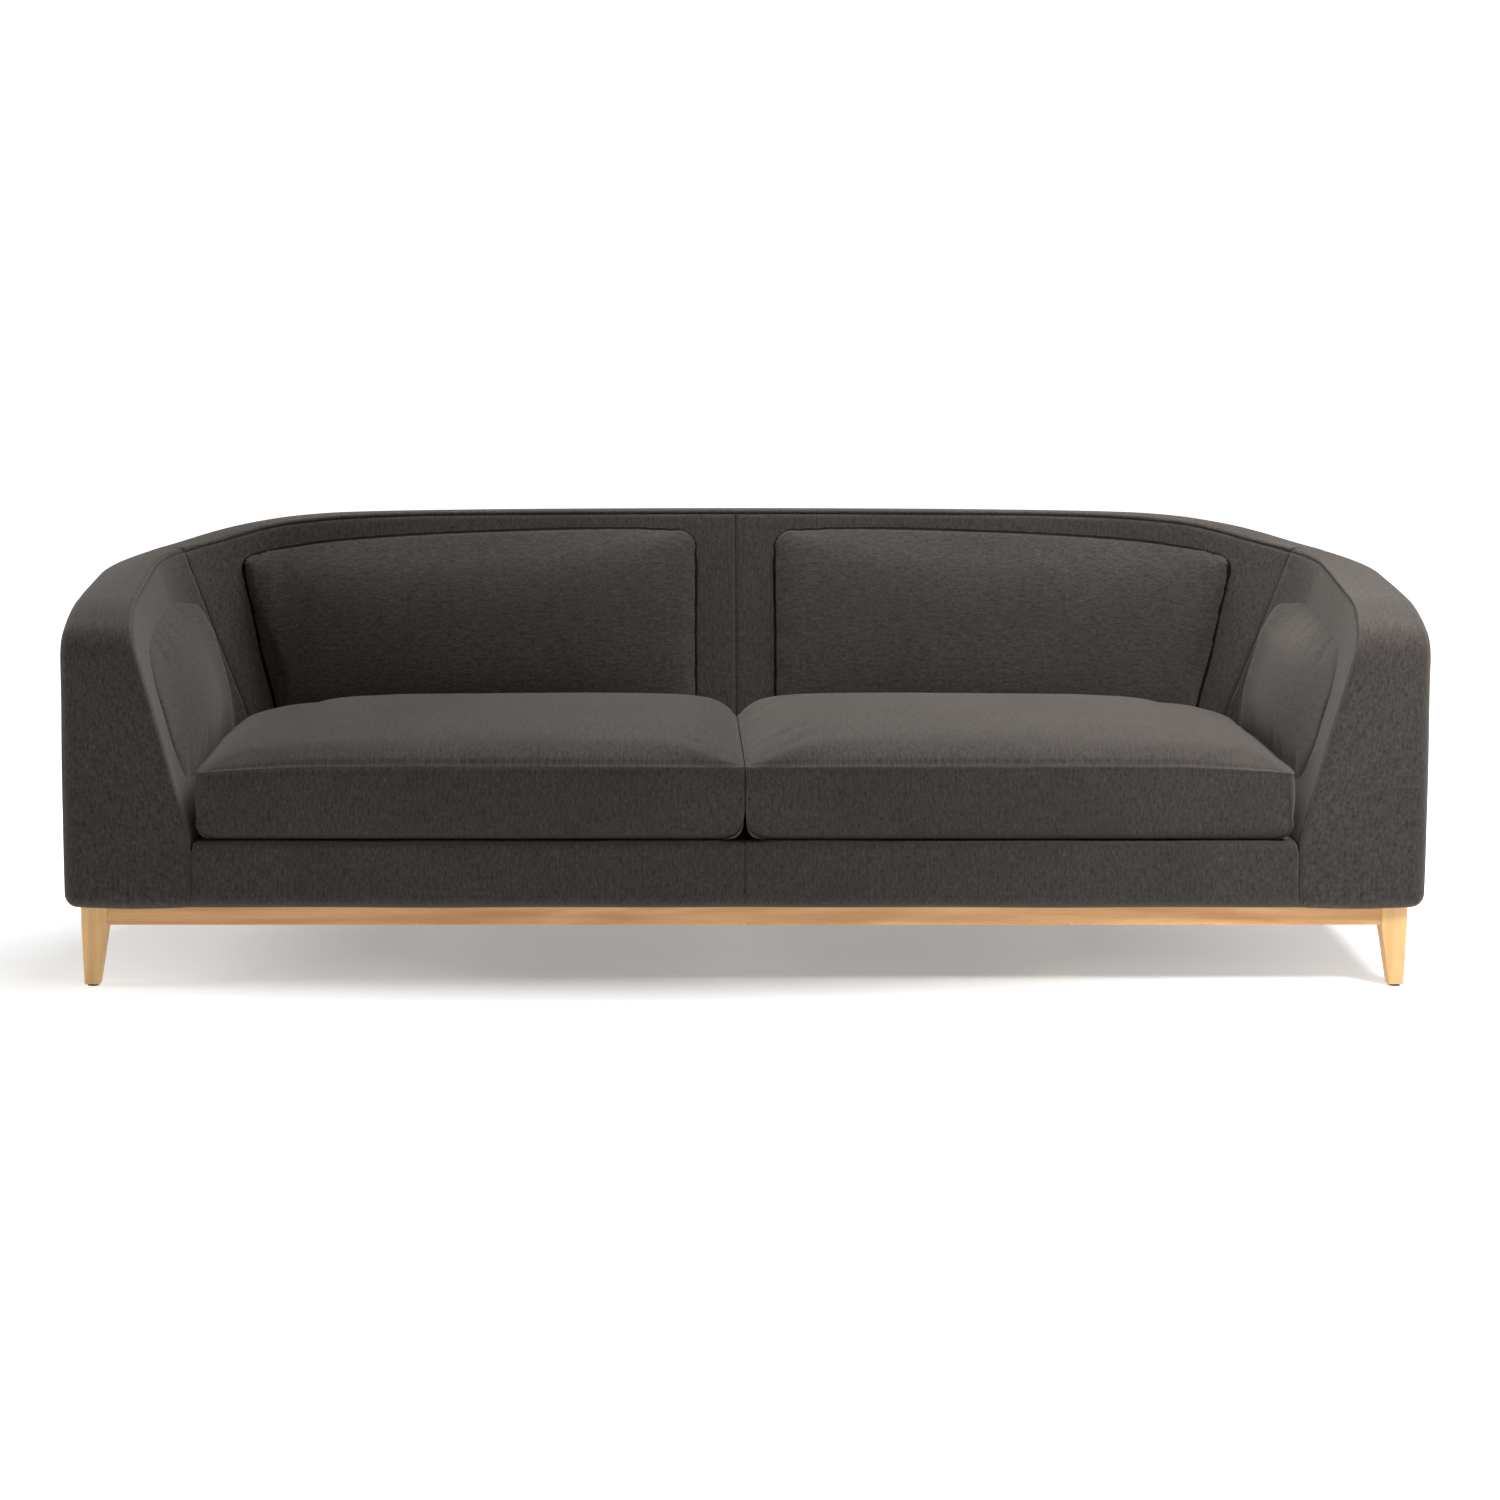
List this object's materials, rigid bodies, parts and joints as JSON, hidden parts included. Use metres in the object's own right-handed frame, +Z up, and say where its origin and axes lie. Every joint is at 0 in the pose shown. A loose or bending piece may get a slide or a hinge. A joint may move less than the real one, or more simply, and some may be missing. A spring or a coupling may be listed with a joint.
{
  "type": "sofa",
  "caption": "Tub sofa with arms running round into the back under one rim, loose seat cushions, sewn-on back and arm pads, and a slim wooden leg frame.",
  "frame": {"origin": "on the floor under the middle of the sofa's outline, seen from above", "axes": "+X to the right seen from the front, +Y towards the back, +Z up; the front faces -Y"},
  "size_m": [2.34, 0.88, 0.75],
  "materials": {
    "cover_fabric": "heathered wool-like weave, matt",
    "deck_cloth": "plain dark lining cloth, matt",
    "dust_cloth": "thin black non-woven cloth, matt",
    "foam": "pale open-cell foam, matt",
    "oak": "honey-coloured oak, clear satin lacquer",
    "frame_wood": "sawn softwood and plywood, unfinished",
    "steel": "zinc-plated steel",
    "clip_plastic": "moulded plastic, matt",
    "glide_plastic": "moulded plastic, matt",
    "webbing": "woven elastic webbing",
    "zip_tape": "woven tape with coil teeth",
    "zip_metal": "dark plated metal"
  },
  "bodies": {
    "sofa_body": {"arm_facing_left": "cover_fabric", "arm_facing_right": "cover_fabric", "arm_pad_left": "cover_fabric", "arm_pad_right": "cover_fabric", "arm_rib_front_left": "frame_wood", "arm_rib_front_right": "frame_wood", "arm_rib_rear_left": "frame_wood", "arm_rib_rear_right": "frame_wood", "arm_top_rail_left": "frame_wood", "arm_top_rail_right": "frame_wood", "back_bottom_rail": "frame_wood", "back_pad_left": "cover_fabric", "back_pad_right": "cover_fabric", "back_rib_centre": "frame_wood", "back_rib_left": "frame_wood", "back_rib_right": "frame_wood", "back_top_rail": "frame_wood", "back_webbing": "webbing", "base_border_left": "cover_fabric", "base_border_right": "cover_fabric", "dust_cover": "dust_cloth", "floor_glides": "glide_plastic", "frame_screws": "steel", "inside_arm_left": "cover_fabric", "inside_arm_right": "cover_fabric", "inside_back_left": "cover_fabric", "inside_back_right": "cover_fabric", "leg_bolts": "steel", "leg_braces": "frame_wood", "leg_front_left": "oak", "leg_front_right": "oak", "leg_rear_left": "oak", "leg_rear_right": "oak", "outside_arm_left": "cover_fabric", "outside_arm_right": "cover_fabric", "outside_back_left": "cover_fabric", "outside_back_right": "cover_fabric", "plinth_cross_rails": "frame_wood", "plinth_rail_front": "oak", "plinth_rail_left": "oak", "plinth_rail_rear": "oak", "plinth_rail_right": "oak", "rim_border": "cover_fabric", "seat_deck": "deck_cloth", "seat_rail_centre": "frame_wood", "seat_rail_front": "frame_wood", "seat_rail_left": "frame_wood", "seat_rail_rear": "frame_wood", "seat_rail_right": "frame_wood", "seat_springs": "steel", "spring_clips": "clip_plastic"},
    "seat_cushion_left": {"cushion_cover_left": "cover_fabric", "cushion_core_left": "foam", "cushion_zip_left": "zip_tape"},
    "seat_cushion_right": {"cushion_cover_right": "cover_fabric", "cushion_core_right": "foam", "cushion_zip_right": "zip_tape"},
    "zip_slider_body_left": {"zip_slider_left": "zip_metal"},
    "zip_slider_body_right": {"zip_slider_right": "zip_metal"}
  },
  "joints": [
    {"name": "cushion_left_lift", "type": "slide", "parent": "sofa_body", "child": "seat_cushion_left", "axis": [0, 0, 1], "range_m": [0, 0.45]},
    {"name": "zip_left_slide", "type": "slide", "parent": "seat_cushion_left", "child": "zip_slider_body_left", "axis": [-1, 0, 0], "range_m": [0, 0.6]},
    {"name": "cushion_right_lift", "type": "slide", "parent": "sofa_body", "child": "seat_cushion_right", "axis": [0, 0, 1], "range_m": [0, 0.45]},
    {"name": "zip_right_slide", "type": "slide", "parent": "seat_cushion_right", "child": "zip_slider_body_right", "axis": [1, 0, 0], "range_m": [0, 0.6]}
  ]
}
